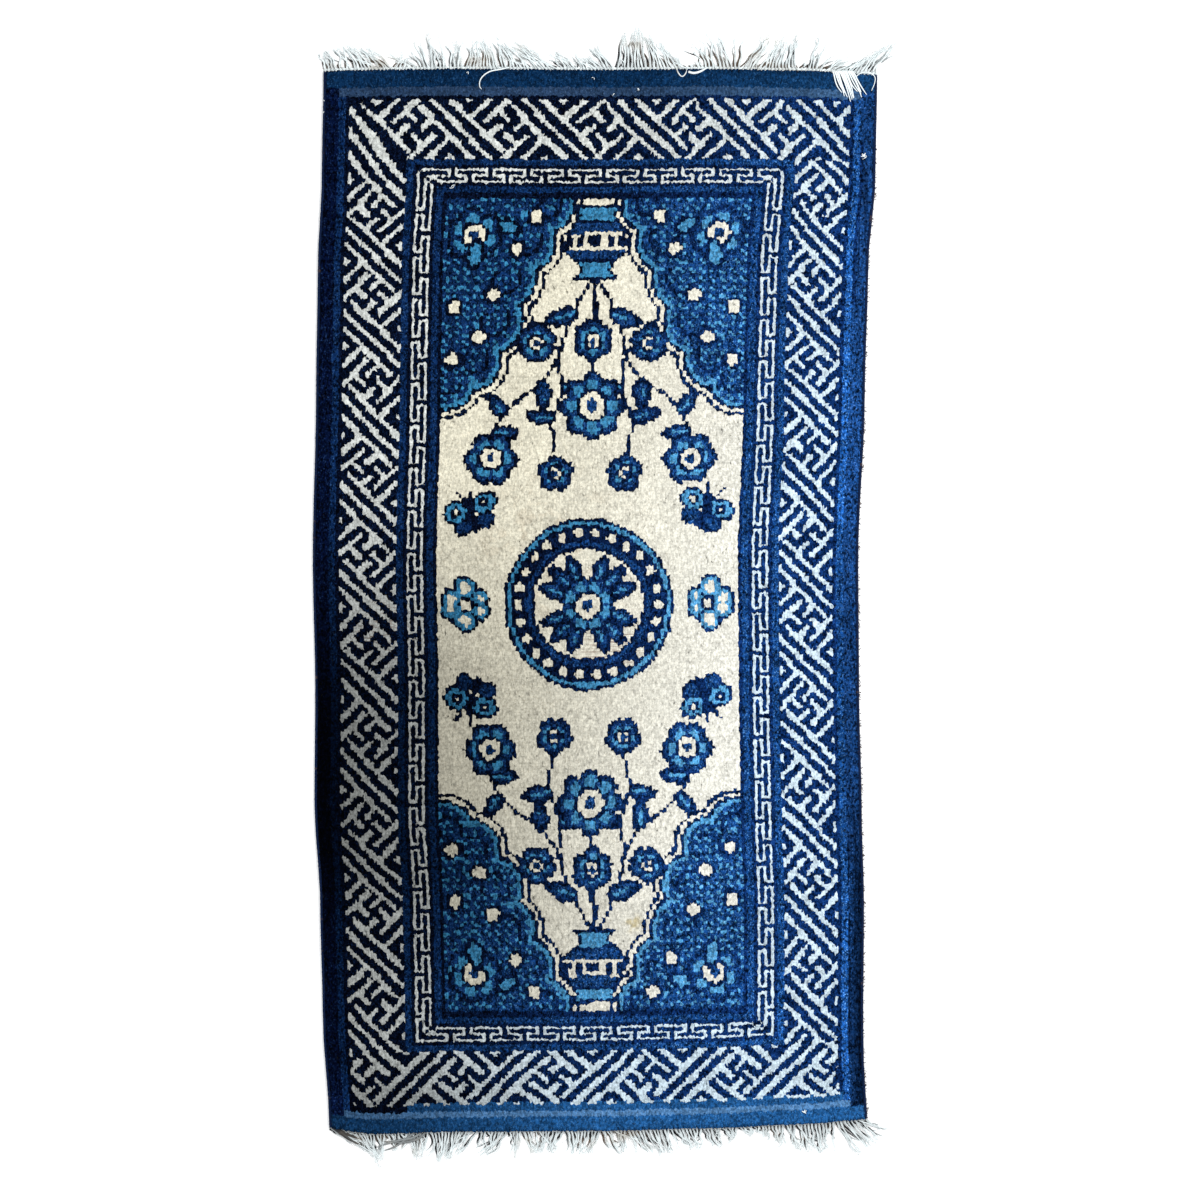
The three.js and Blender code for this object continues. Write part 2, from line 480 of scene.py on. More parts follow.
def stem(points, yarn=NAVY, half=2.1):
    distance = np.full(x.shape, np.inf)
    for start, end in zip(points, points[1:]):
        run = (end[0] - start[0], end[1] - start[1])
        share = ((x - start[0]) * run[0] + (y - start[1]) * run[1]) / (run[0] ** 2 + run[1] ** 2)
        share = np.clip(share, 0, 1)
        off = np.hypot(x - start[0] - share * run[0], y - start[1] - share * run[1])
        distance = np.minimum(distance, off)
    knot(distance < half, yarn)


def scroll(at, radius, start, end, tighten=0.0):
    """Points along a curl, in degrees, whose radius may shrink as it turns."""
    turns = np.radians(np.linspace(start, end, 22))
    radii = radius * (1 - tighten * np.linspace(0, 1, 22))
    return list(zip(at[0] + radii * np.cos(turns), at[1] + radii * np.sin(turns)))


def bloom(at, radius, petals, turn=0.0):
    """A flower seen from above: a ring of lobed petals, a second ring inside and a white eye."""
    along, across = turned(at, turn)
    out = np.hypot(along, across)
    lobe = np.abs(np.cos(petals / 2 * np.arctan2(across, along)))
    rim = radius * (0.78 + 0.22 * lobe**0.7)
    knot(out < rim + OUTLINE, NAVY)
    knot(out < rim, BLUE)
    knot((out < rim - 1.2 * OUTLINE) & (out > 0.5 * radius) & (lobe > 0.45), SKY)
    knot(out < 0.55 * radius, NAVY)
    knot(out < 0.55 * radius - OUTLINE, CREAM)
    knot(out < 0.2 * radius, BLUE)


def clouds(puffs, yarns):
    """A bank of round puffs, outlined in one yarn after another from the outside in."""
    for grow, yarn in yarns:
        for puff in puffs:
            knot(disc(puff[:2], puff[2] + grow), yarn)


knot(field, CREAM)

# The cloud banks in the corners are blue, flecked with sky blue and set with pearls.
wide, high = field_wide, field_high
PUFFS = [
    (wide - 8, high - 222, 30),
    (wide - 38, high - 196, 32),
    (wide - 60, high - 150, 36),
    (wide - 74, high - 98, 36),
    (wide - 96, high - 52, 36),
    (wide - 122, high - 8, 30),
]
bank = (wide - x) / 100 + (high - y) / 225 < 1
PEARLS = [
    (wide - 14, high - 196),
    (wide - 46, high - 168),
    (wide - 14, high - 132),
    (wide - 62, high - 118),
    (wide - 88, high - 62),
    (wide - 110, high - 22),
]
clouds(PUFFS, [(13.4, NAVY), (9.2, CREAM), (5, NAVY), (0.8, SKY), (-4, BLUE)])
knot(bank, BLUE)
for puff in PUFFS:
    stem(scroll(puff[:2], puff[2] * 0.62, 150, 420, 0.55), NAVY, 1.9)
flecks = ((column + 2 * row + wander(17, 4, 2.2).astype(int)) % 3 < 1) & (row % 3 < 2)
inner = np.zeros(x.shape, bool)
for puff in PUFFS:
    inner |= disc(puff[:2], puff[2] - 6)
inner |= (wide - x) / 95 + (high - y) / 218 < 1
knot(inner & flecks & (chart == BLUE), SKY)
for pearl in PEARLS:
    knot(disc(pearl, 7.6 + OUTLINE), NAVY)
    knot(disc(pearl, 7.6), CREAM)
bloom((wide - 36, high - 44), 31, 6, 20)
leaf((wide - 36, high - 82), 100, 30, 15, SKY)
leaf((wide - 66, high - 30), 200, 24, 13, SKY)

# The medallion is a navy ring of pearls round a flower.
RING = 104
PEARL_COUNT = 26
out = np.hypot(x, y)
around = np.round(np.arctan2(y, x) / (2 * math.pi / PEARL_COUNT)) * (2 * math.pi / PEARL_COUNT)
knot(out < RING, NAVY)
knot(out < RING - 4, SKY)
knot(out < RING - 8.4, NAVY)
pearl_ring = RING - 18
knot(np.hypot(x - pearl_ring * np.cos(around), y - pearl_ring * np.sin(around)) < 5.6, CREAM)
knot(out < RING - 28, BLUE)
knot(out < RING - 33, NAVY)
knot(out < RING - 37.4, CREAM)
HEART = 34
bloom((0, 0), HEART, 8, 22.5)
for turn in (22, 45, 68):
    leaf(scroll((0, 0), HEART, turn, turn)[0], turn, 25, 13)

# The sprays grow out of the vases.
stem([(0, 402), (3, 330), (0, 270)])
stem([(0, 398), (20, 366), (34, 330), (40, 300), (60, 270), (88, 252)])
stem([(40, 300), (36, 262), (50, 222), (44, 186)])
stem([(88, 252), (112, 226), (122, 196)])
leaf((22, 352), -18, 34, 16)
leaf((60, 270), -88, 30, 14)
leaf((36, 262), 178, 22, 11)
leaf((50, 226), 8, 28, 13)
leaf((108, 232), 52, 26, 13)
leaf((116, 210), 190, 26, 13)
bloom((0, 240), 37, 8)
bloom((120, 176), 29, 6)
bloom((42, 160), 19, 5, 90)
bloom((0, 320), 22, 6, 30)
stem([(38, 306), (64, 316)])
bloom((68, 316), 20, 5, 90)

# A vase stands at each end. It is narrow at its foot and neck and widest at its belly and mouth.
vase_base, vase_mouth = high - 12, high - 96
share = (vase_base - y) / (vase_base - vase_mouth)
VASE_HEIGHTS = (0, 0.09, 0.3, 0.6, 0.82, 0.92, 1)
VASE_HALVES = (24, 19, 29, 38, 17, 15, 23)
half = np.interp(share, VASE_HEIGHTS, VASE_HALVES)
grown = OUTLINE / (vase_base - vase_mouth)
knot((share > -grown) & (share < 1 + grown) & (x < half + OUTLINE), NAVY)
vase = (share > 0) & (share < 1) & (x < half)
knot(vase, SKY)
knot(vase & (share > 0.16) & (share < 0.78), NAVY)
knot(vase & (share > 0.2) & (share < 0.74), BLUE)
knot(vase & (share > 0.36) & (share < 0.6), CREAM)
knot(vase & (share > 0.4) & (share < 0.56) & (x % 14 < 8), NAVY)


def butterfly(at, turn, size):
    along, across = turned(at, turn)
    along, across = along / size, np.abs(across) / size
    fore = np.hypot((along - 0.2) / 0.34, (across - 0.5) / 0.42)
    hind = np.hypot((along + 0.36) / 0.27, (across - 0.38) / 0.32)
    knot((fore < 1.14) | (hind < 1.14), NAVY)
    knot(fore < 0.87, SKY)
    knot(hind < 0.85, BLUE)
    knot(fore < 0.5, NAVY)
    knot(fore < 0.2, CREAM)
    knot((across < 0.11) & (np.abs(along + 0.05) < 0.62), NAVY)
    feeler = np.abs(across - 0.45 * (along - 0.4) - 0.08) < 0.055
    knot(feeler & (along > 0.5) & (along < 0.95), NAVY)


butterfly((142, 112), 70, 36)

# Small clouds lie at the sides.
clouds([(150, 20, 15), (132, 8, 12), (166, 6, 14)], [(0, NAVY), (-3.4, SKY), (-8, CREAM)])


# The cotton cloth under the pile
# Cotton warps run the length of the rug and cotton wefts lie between the rows of knots. Seen from
# below, the backs of the knots show the whole design, with a thin line of weft after each row.
CLOTH_HIGH = 0.0021
CLOTH_UNEVEN = 0.00025
CLOTH_FLAT = (0.671, 1.291)
EDGE_POINTS = 401

# The lower right corner is trodden outwards.
CORNER_SPLAY = 0.004
SPLAY_START = -0.57
SPLAY_LONG = 0.07
SPLAY_WIDE = 0.3

# Each yarn's colour on the left of the rug and on the right, and that of its palest fibres. The left
# colours hold painted shade and the right ones painted sheen.
YARN_COLOURS = {
    NAVY: [(5, 11, 29), (12, 42, 92), (40, 88, 156)],
    DENIM: [(8, 40, 74), (32, 88, 146), (84, 140, 194)],
    LILAC: [(38, 60, 90), (84, 133, 184), (130, 166, 204)],
    BLUE: [(8, 33, 71), (18, 64, 124), (100, 154, 208)],
    SKY: [(48, 118, 158), (84, 160, 212), (160, 206, 228)],
    IVORY: [(210, 214, 210), (214, 234, 246), (146, 138, 120)],
    CREAM: [(226, 221, 200), (241, 240, 230), (168, 152, 124)],
    INDIGO: [(3, 12, 40), (17, 54, 104), (70, 110, 170)],
}


def course(points, count):
    """The line through the points, resampled at even steps."""
    run = np.concatenate([[0], np.cumsum(np.linalg.norm(np.diff(points, axis=0), axis=1))])
    at = np.linspace(0, run[-1], count)
    return np.stack([np.interp(at, run, points[:, i]) for i in range(points.shape[1])], axis=1)


def rug_edges():
    """The body's lower and upper edge from the left, and its left and right edge from below."""
    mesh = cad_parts["rug_body"].data
    points = np.empty(len(mesh.vertices) * 3)
    mesh.vertices.foreach_get("co", points)
    points = points.reshape(-1, 3)
    half_high = (body_high.z - body_low.z) / 2
    rim = points[np.abs(points[:, 2] - half_high) < 0.8 * half_high, :2]
    rim = np.unique(np.round(rim, 6), axis=0) - np.array(body_middle)[:2]
    splayed = np.clip((SPLAY_START - rim[:, 1]) / SPLAY_LONG, 0, 1)
    rim[:, 0] += CORNER_SPLAY * (splayed * np.clip(rim[:, 0] / SPLAY_WIDE, 0, 1))
    rim = rim[np.argsort(np.arctan2(rim[:, 1], rim[:, 0]))]
    shares = rim / np.array(body_high - body_low)[:2]
    turns = [(-1, -1), (1, -1), (1, 1), (-1, 1)]
    corners = np.array([np.argmax(shares @ turn) for turn in turns])
    rim = np.roll(rim, -corners[0], axis=0)
    corners = [*((corners - corners[0]) % len(rim)), len(rim)]
    rim = np.vstack([rim, rim[:1]]) + np.array(body_middle)[:2]
    sides = [course(rim[i : j + 1], EDGE_POINTS) for i, j in zip(corners, corners[1:])]
    lower, right, upper, left = sides
    return lower, upper[::-1], left[::-1], right


lower_edge, upper_edge, left_edge, right_edge = rug_edges()


def along_edge(edge, share):
    steps = np.linspace(0, 1, len(edge))
    return np.stack([np.interp(share, steps, edge[:, i]) for i in range(2)], axis=-1)


def on_rug(across, along):
    """A point of the rug: across from 0 at the left edge to 1, along from 0 at the lower end to 1."""
    across, along = np.broadcast_arrays(across, along)
    a, b = across[..., None], along[..., None]
    ends = (1 - b) * along_edge(lower_edge, across) + b * along_edge(upper_edge, across)
    sides = (1 - a) * along_edge(left_edge, along) + a * along_edge(right_edge, along)
    corners = (1 - b) * ((1 - a) * lower_edge[0] + a * lower_edge[-1])
    corners = corners + b * ((1 - a) * upper_edge[0] + a * upper_edge[-1])
    return ends + sides - corners


def outline(index):
    """The points round a grid of them, once each."""
    return np.concatenate([index[0, :-1], index[:-1, -1], index[-1, :0:-1], index[:0:-1, 0]])


def cells(index):
    """The four points round each cell of a grid of them."""
    around = [index[:-1, :-1], index[1:, :-1], index[1:, 1:], index[:-1, 1:]]
    return np.stack(around, axis=-1).reshape(-1, 4)


def fill(layer, name, values):
    layer.data.foreach_set(name, values.astype(np.float32).ravel())


def stand_for(made, node):
    """Puts a piece in a solid's place, with the flat map from above that its colours bake on."""
    points = np.empty(len(made.data.vertices) * 3)
    made.data.vertices.foreach_get("co", points)
    points = points.reshape(-1, 3)[:, :2]
    low = points.min(axis=0)
    corners = np.empty(len(made.data.loops), dtype=np.int32)
    made.data.loops.foreach_get("vertex_index", corners)
    shares = (points[corners] - low) / (points.max(axis=0) - low).max()
    fill(made.data.uv_layers.new(name="OFBake"), "uv", shares)
    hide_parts(node)


draw = np.random.default_rng(7)
across, along = np.meshgrid(np.arange(KNOTS_ACROSS + 1), np.arange(ROWS + 1))
grid = np.zeros((ROWS + 1, KNOTS_ACROSS + 1, 3))
grid[..., :2] = on_rug(across / KNOTS_ACROSS, along / ROWS)
grid[1:-1, 1:-1, 2] = draw.uniform(0, CLOTH_UNEVEN, (ROWS - 1, KNOTS_ACROSS - 1))
index = np.arange(across.size).reshape(across.shape)
below = cells(index)
rim = outline(index)
roof = grid.reshape(-1, 3)[rim] + (0, 0, CLOTH_HIGH)
over = index.size + np.arange(len(rim))
wall = np.stack([rim, np.roll(rim, -1), np.roll(over, -1), over], axis=-1)
cloth_points = np.vstack([grid.reshape(-1, 3), roof])
cloth_faces = np.vstack([below, wall])

weave = Recipe("knotted back", {"Specular IOR Level": 0.05, "Roughness": 0.95})
dyed = weave.add("ShaderNodeAttribute", {"attribute_name": "yarn"}, {})
columns_apart, rows_apart, _ = weave.split(weave.add("ShaderNodeUVMap", {"uv_map": "knots"}, {}))
node_hump = weave.maths("SINE", columns_apart * (4 * math.pi))
row_hump = weave.maths("COSINE", rows_apart * (2 * math.pi))
wool_share = weave.between(row_hump, 0.55, 0.95, 1.0, 0.0)
worn = weave.noise((260, 260, 260), 3.0)
cotton_weft = weave.mix(worn, from_srgb(150, 142, 126), from_srgb(205, 198, 180))
back_colour = weave.mix(wool_share * 0.85 + 0.1, cotton_weft, dyed)
humps = {"Strength": 0.6, "Distance": 0.0004, "Height": node_hump * 0.3 - row_hump * 0.5 + worn}
relief = weave.add("ShaderNodeBump", {}, humps)
shaded = weave.deepen(back_colour, 0.72 + 0.5 * worn)
cloth_look = weave.finish({"Base Color": shaded, "Normal": relief})

cloth = piece("cotton_cloth", cloth_points, cloth_faces, cloth_look, "wool_pile")
top_face = bmesh.new()
top_face.from_mesh(cloth.data)
top_face.verts.ensure_lookup_table()
top_face.faces.new([top_face.verts[i] for i in over])
top_face.to_mesh(cloth.data)
top_face.free()

# Each knot's back has its yarn's colour. The rim is dyed dark by the wool over it.
RIM_COLOUR = (16, 36, 70)
colours = np.tile(from_srgb(*RIM_COLOUR), (len(cloth.data.loops), 1))
backs = np.array([[from_srgb(*one) for one in row[:2]] for row in YARN_COLOURS.values()])
knot_colours = backs.mean(axis=1)[chart[::-1]].reshape(-1, 4)
colours[: 4 * len(knot_colours)] = np.repeat(knot_colours, 4, axis=0)
fill(cloth.data.color_attributes.new("yarn", "FLOAT_COLOR", "CORNER"), "color", colours)
knot_places = np.full((len(cloth.data.loops), 2), 0.5)
knot_places[: below.size] = np.stack([across.ravel(), along.ravel()], axis=-1)[below.ravel()]
fill(cloth.data.uv_layers.new(name="knots"), "uv", knot_places)
stand_for(cloth, "rug_body")


# The pile
# Each knot is a short length of wool tied round two warps, with its two cut ends standing up as a
# pair of tufts. They were clipped level, and years of use have matted and leaned them.
PILE_TOP = 0.0087
PILE_VALLEY = 0.0076
PILE_LEAN = (0.0003, -0.0008)
RIM_BOTTOM = 0.0022
RIM_INSET = 0.0030
TUFT_ASTRAY = 0.00046
TUFT_UNEVEN = 0.00032
EDGE_ASTRAY = 0.0005
TUFTS_ACROSS = 2 * KNOTS_ACROSS

draw = np.random.default_rng(21)
inset_share = RIM_INSET / CLOTH_FLAT[0]


def pile_plan(across, along):
    return on_rug(inset_share + across * (1 - 2 * inset_share), along)


valleys = np.zeros((ROWS + 1, TUFTS_ACROSS + 1, 3))
valleys[..., :2] = pile_plan(
    np.arange(TUFTS_ACROSS + 1)[None, :] / TUFTS_ACROSS, 1 - np.arange(ROWS + 1)[:, None] / ROWS
)
astray = draw.normal(0, TUFT_ASTRAY, (ROWS - 1, TUFTS_ACROSS - 1, 2)) * (1.3, 2.1)
valleys[1:-1, 1:-1, :2] += astray
tuft_yarn = np.repeat(chart, 2, axis=1)
tuft_field = np.repeat(field, 2, axis=1)

# Where one yarn's corner stands among three tufts of another, matting has rounded it off.
ROUNDING = 0.22
around = [tuft_yarn[:-1, :-1], tuft_yarn[:-1, 1:], tuft_yarn[1:, 1:], tuft_yarn[1:, :-1]]
toward = [(-1, 1), (1, 1), (1, -1), (-1, -1)]
tuft_size = np.array(CLOTH_FLAT) / (TUFTS_ACROSS, ROWS)
for i in range(4):
    one, others = around[i], around[i + 1 :] + around[:i]
    alone = (one != others[0]) & (others[0] == others[1]) & (others[1] == others[2])
    valleys[1:-1, 1:-1, :2] += alone[..., None] * toward[i] * tuft_size * ROUNDING / 2

# The dark wool spreads a little over the white lines of the borders, most in the key border.
NARROWING = (0.22, 0.22)
KEY_NARROWING = (0.55, 0.38)
white = np.stack([one == IVORY for one in around], axis=-1)
pulled = (white @ np.array(toward)) / np.maximum(white.sum(axis=-1, keepdims=True), 1)
single = np.repeat(key_band, 2, axis=1)[1:, 1:, None]
valleys[1:-1, 1:-1, :2] += pulled * tuft_size * np.where(single, KEY_NARROWING, NARROWING) / 2
tips = np.zeros((ROWS, TUFTS_ACROSS, 3))
tips[..., :2] = pile_plan(
    (np.arange(TUFTS_ACROSS)[None, :] + 0.5) / TUFTS_ACROSS,
    1 - (np.arange(ROWS)[:, None] + 0.5) / ROWS,
)
tips[..., :2] += PILE_LEAN + draw.normal(0, TUFT_ASTRAY, (ROWS, TUFTS_ACROSS, 2))
swell = np.repeat(wander(31, 26, 0.0003), 2, axis=1)
tips[..., 2] = PILE_TOP + swell + draw.normal(0, TUFT_UNEVEN, (ROWS, TUFTS_ACROSS))
valleys[..., 2] = PILE_VALLEY + draw.normal(0, TUFT_UNEVEN, (ROWS + 1, TUFTS_ACROSS + 1))
valleys[:-1, :-1, 2] += swell
valleys[[0, -1], :, 2] = RIM_BOTTOM
valleys[:, [0, -1], 2] = RIM_BOTTOM
valleys[[0, -1], :, 1] += draw.normal(0, EDGE_ASTRAY, (2, TUFTS_ACROSS + 1))
valleys[:, [0, -1], 0] += draw.normal(0, EDGE_ASTRAY, (ROWS + 1, 2))
tuft_points = np.vstack([valleys.reshape(-1, 3), tips.reshape(-1, 3)])

# A tuft is a low four-sided roof, from its four valleys up to its tip.
first = np.arange(ROWS)[:, None] * (TUFTS_ACROSS + 1) + np.arange(TUFTS_ACROSS)[None, :]
tip = valleys[..., 0].size + np.arange(ROWS * TUFTS_ACROSS).reshape(ROWS, TUFTS_ACROSS)
ring = [first, first + TUFTS_ACROSS + 1, first + TUFTS_ACROSS + 2, first + 1]
tuft_faces = [np.stack([ring[i], ring[(i + 1) % 4], tip], axis=-1) for i in range(4)]
tuft_faces = np.stack(tuft_faces, axis=2)

WOOL_DEPTH = 0.79


def wool(
    name,
    yarn,
    slant=0.18,
    reach=(-0.16, 0.24),
    rough=0.9,
    flecked=(0.2, 0.75),
    left_shade=(0.7, 0.43, 0.66),
    corner_sheen=1.0,
    side_sheen=0.0,
    edge_shade=0.0,
    spots=(),
):
    """Dyed wool, deepened by painted shade on the left of the rug and lightened by painted sheen on
    the right, in tufts of uneven depth.

    The slant turns the line along which the depth changes. Painted shade darkens the left side in its
    lower half, with one strength at the middle, one lower down and one at the end. A yarn may be
    lightened by painted sheen in the lower right corner and on the upper right side and darkened by
    painted shade on the lower right edge, and some spots are worn or hold the painted shade of
    creases.
    """
    constants = {"Sheen Weight": 0.02, "Sheen Roughness": 0.4, "Specular IOR Level": 0.01}
    recipe = Recipe(name, constants)
    left, right, fleck = (from_srgb(*colour) for colour in YARN_COLOURS[yarn])
    across, along, height = recipe.split(recipe.surface())
    # The colour runs from painted shade on the left of the rug to painted sheen on the right.
    side = recipe.between(across - slant * along, *reach)
    colour = recipe.mix(side, left, right)
    lots = recipe.noise((6, 90, 6), 3.0)
    streaks = recipe.noise((190, 14, 6), 3.0)
    patches = recipe.noise((40, 40, 40), 3.0, 0.6)
    clumps = recipe.noise((430, 300, 60), 2.0, 0.65)
    grains = recipe.noise((720, 520, 90), 2.0, 0.65)
    # Flecks of the palest fibres. For the blues they grow towards the right as painted sheen.
    paler = recipe.between(grains, 0.55, 0.7) * recipe.between(side, 0.0, 1.0, *flecked)
    colour = recipe.mix(paler, colour, fleck)
    for place, radius, grain, strength, spot_colour in spots:
        rows_worn = recipe.noise(grain, 3.0, 0.6)
        aside, above = across - place[0], along - place[1]
        distance = (aside * aside + above * above) ** 0.5
        share = recipe.between(distance, 0.2 * radius, radius, 1.0, 0.0)
        share = share * recipe.between(rows_worn, 0.5, 0.62, 0.0, strength)
        colour = recipe.mix(share, colour, from_srgb(*spot_colour))
    depth = recipe.between(clumps, 0.34, 0.66, 1 - rough, 1 + rough)
    broad = (lots + streaks + patches) / 3
    depth = depth * recipe.between(broad, 0.4, 0.6, 1 - rough / 4, 1 + rough / 4)
    # Painted shade darkens the tufts towards their roots, between their tips.
    root_shade = recipe.between(height, PILE_VALLEY - 0.0006, PILE_TOP, 0.72, 1.0)
    # Painted shade darkens the left of the rug in its lower half, most near the left edge.
    painted_shade = recipe.between(across, -0.36, 0.12, 1.0, 0.0)
    painted_shade = painted_shade * recipe.between(along, -0.16, 0.2, 1.0, 0.0)
    middle, low, end = left_shade
    strength = recipe.between(along, -0.5, -0.3, low, middle)
    strength = strength + recipe.between(along, -0.62, -0.55, end - low, 0.0)
    depth = depth * root_shade * WOOL_DEPTH * (1 - painted_shade * strength)
    # Painted sheen may lighten the lower right corner.
    depth = depth * recipe.between(across - 0.6 * along, 0.42, 0.6, 1.0, corner_sheen)
    # Painted sheen may lighten the upper right side.
    if side_sheen:
        upward = recipe.between(along, 0.0, 0.12) * recipe.between(along, 0.36, 0.5, 1.0, 0.3)
        depth = depth * (1 + side_sheen * recipe.between(across, 0.24, 0.3) * upward)
    # Painted shade may darken the lower right edge, where the corner curls.
    if edge_shade:
        downward = recipe.between(along, -0.36, -0.2, 1.0, 0.0)
        depth = depth * (1 - edge_shade * recipe.between(across, 0.295, 0.31) * downward)
    sockets = {"Base Color": recipe.deepen(colour, depth), "Roughness": 0.85 + 0.12 * clumps}
    return recipe.finish(sockets)


# Worn places and creases: the middle and the radius, how fine their own streaks are, how strong it
# is, and the colour that it bares, which for a crease is its painted shade.
WORN_BORDER = [
    ((-0.262, -0.040), 0.055, (90, 420, 90), 0.8, (142, 118, 104)),
    ((0.303, 0.345), 0.030, (120, 300, 90), 0.8, (120, 112, 92)),
]
WORN_FIELD = [
    ((0.012, -0.050), 0.060, (18, 620, 18), 0.85, (140, 112, 98)),
    ((0.036, -0.392), 0.016, (40, 40, 40), 0.7, (196, 176, 112)),
    ((-0.060, 0.060), 0.130, (30, 40, 30), 0.3, (196, 176, 148)),
]
# The creases on the right side are painted shade: dark streaks where the folds lie in shadow.
CREASE_SHADE_SIDE = [
    ((0.325, 0.430), 0.190, (260, 9, 9), 0.6, (3, 8, 28)),
    ((0.335, -0.400), 0.260, (240, 9, 9), 0.75, (3, 8, 28)),
]
WIDE_REACH = (-0.45, 0.45)
looks = {
    NAVY: wool("navy wool", NAVY),
    INDIGO: wool(
        "indigo wool", INDIGO, left_shade=(0.92, 0.5, 0.0), side_sheen=0.5, edge_shade=0.74, spots=CREASE_SHADE_SIDE
    ),
    DENIM: wool("denim wool", DENIM, slant=0.68, reach=WIDE_REACH, rough=0.5),
    LILAC: wool(
        "lilac wool", LILAC, slant=0.65, reach=WIDE_REACH, rough=0.4, left_shade=(0.7, 0.43, 0.5)
    ),
    BLUE: wool("blue wool", BLUE, reach=(-0.3, 0.3), left_shade=(0.9, 0.5, 0.1), corner_sheen=1.7, side_sheen=0.8),
    SKY: wool("sky wool", SKY, rough=0.5),
    IVORY: wool("ivory wool", IVORY, slant=0.3, rough=0.26, flecked=(0.6, 0.35), spots=WORN_BORDER),
    CREAM: wool("cream wool", CREAM, rough=0.2, flecked=(0.5, 0.4), spots=WORN_FIELD),
}

# Each piece holds the tufts of one yarn, either in the border or in the field.
PILES = [
    ("pile_navy_border", NAVY, False),
    ("pile_side_bands", INDIGO, False),
    ("pile_end_bands", DENIM, False),
    ("pile_end_stripes", LILAC, False),
    ("pile_blue_border", BLUE, False),
    ("pile_ivory_border", IVORY, False),
    ("pile_ivory_field", CREAM, True),
    ("pile_blue_field", BLUE, True),
    ("pile_sky_field", SKY, True),
    ("pile_navy_field", NAVY, True),
]
for name, yarn, in_field in PILES:
    faces = tuft_faces[(tuft_yarn == yarn) & (tuft_field == in_field)].reshape(-1, 3)
    used, faces = np.unique(faces, return_inverse=True)
    made = piece(name, tuft_points[used], faces.reshape(-1, 3), looks[yarn], "wool_pile")
    made.data.shade_smooth()
    stand_for(made, "rug_body")


# The selvedges
# Along each side the outermost warps are wrapped with dark wool into one firm cord, which is worn
# and a little uneven. On the right side worn ends of the wool stick out of it.
CORD_HALF_WIDE = 0.0022
CORD_HALF_HIGH = 0.0026
CORD_RINGS = 720
CORD_SIDES = 8
CORD_WRAP = 0.12
CORD_TIP = 0.3
FRAYED_ENDS = 300
FRAYED_RINGS = 4
FRAYED_HALF = 0.00035
FRAYED_SHARE = 0.93

wrap = Recipe("selvedge wool", {"Specular IOR Level": 0.05, "Roughness": 0.9})
streaks = wrap.noise((300, 900, 300), 3.0)
bald = wrap.noise((24, 60, 24), 4.0, 0.7)
wrapped = wrap.mix(streaks, from_srgb(5, 10, 26), from_srgb(22, 40, 76))
wrapped = wrap.mix(wrap.between(bald, 0.62, 0.72, 0.0, 0.7), wrapped, from_srgb(96, 78, 60))
wrap_look = wrap.finish({"Base Color": wrapped})

rag = Recipe("frayed wool", {"Specular IOR Level": 0.05, "Roughness": 0.95})
pale_share = rag.between(rag.noise((400, 120, 400)), 0.4, 0.65)
rag_colour = rag.mix(pale_share, from_srgb(12, 14, 26), from_srgb(104, 82, 70))
rag_look = rag.finish({"Base Color": rag_colour})


def directions(paths):
    """The way along each of many paths, and the level way square to it."""
    run = np.gradient(paths, axis=1)
    run /= np.linalg.norm(run, axis=2, keepdims=True) + 1e-12
    return run, np.cross(run, (0, 0, 1))


def tubes(paths, half_wide, half_high, sides):
    """Tubes along many paths at once: their points, their walls, and the index of the points."""
    count, rings = paths.shape[:2]
    run, aside = directions(paths)
    aside /= np.linalg.norm(aside, axis=2, keepdims=True) + 1e-9
    upward = np.cross(aside, run)
    angles = np.arange(sides) * 2 * math.pi / sides
    wide = np.broadcast_to(half_wide, (count, rings))[..., None] * np.cos(angles)
    tall = np.broadcast_to(half_high, (count, rings))[..., None] * np.sin(angles)
    points = paths[:, :, None] + wide[..., None] * aside[:, :, None]
    points = points + tall[..., None] * upward[:, :, None]
    index = np.arange(count * rings * sides).reshape(count, rings, sides)
    ahead = np.roll(index, -1, axis=2)
    walls = np.stack([index[:, :-1], index[:, 1:], ahead[:, 1:], ahead[:, :-1]], axis=-1)
    return points.reshape(-1, 3), walls.reshape(-1, 4), index


def closed(walls, index):
    """The walls of four-sided tubes and their two ends."""
    return np.vstack([walls, index[:, 0, ::-1], index[:, -1]])


for name, edge, inward in (("selvedge_left", left_edge, 1), ("selvedge_right", right_edge, -1)):
    draw = np.random.default_rng(len(name))
    path = np.zeros((1, CORD_RINGS, 3))
    path[0, :, :2] = course(edge, CORD_RINGS) + (inward * CORD_HALF_WIDE, 0)
    path[0, :, 2] = CORD_HALF_HIGH * 1.05
    swell = 1 - CORD_WRAP * (np.arange(CORD_RINGS) % 3 == 0) + draw.normal(0, 0.05, CORD_RINGS)
    swell[[0, -1]] = CORD_TIP
    cord_points, walls, _ = tubes(path, CORD_HALF_WIDE * swell, CORD_HALF_HIGH * swell, CORD_SIDES)
    cord_points[:, 2] = np.maximum(cord_points[:, 2], 0)
    cord = piece(name, cord_points, walls, wrap_look, "wool_pile")
    cord.data.shade_smooth()
    stand_for(cord, "rug_body")

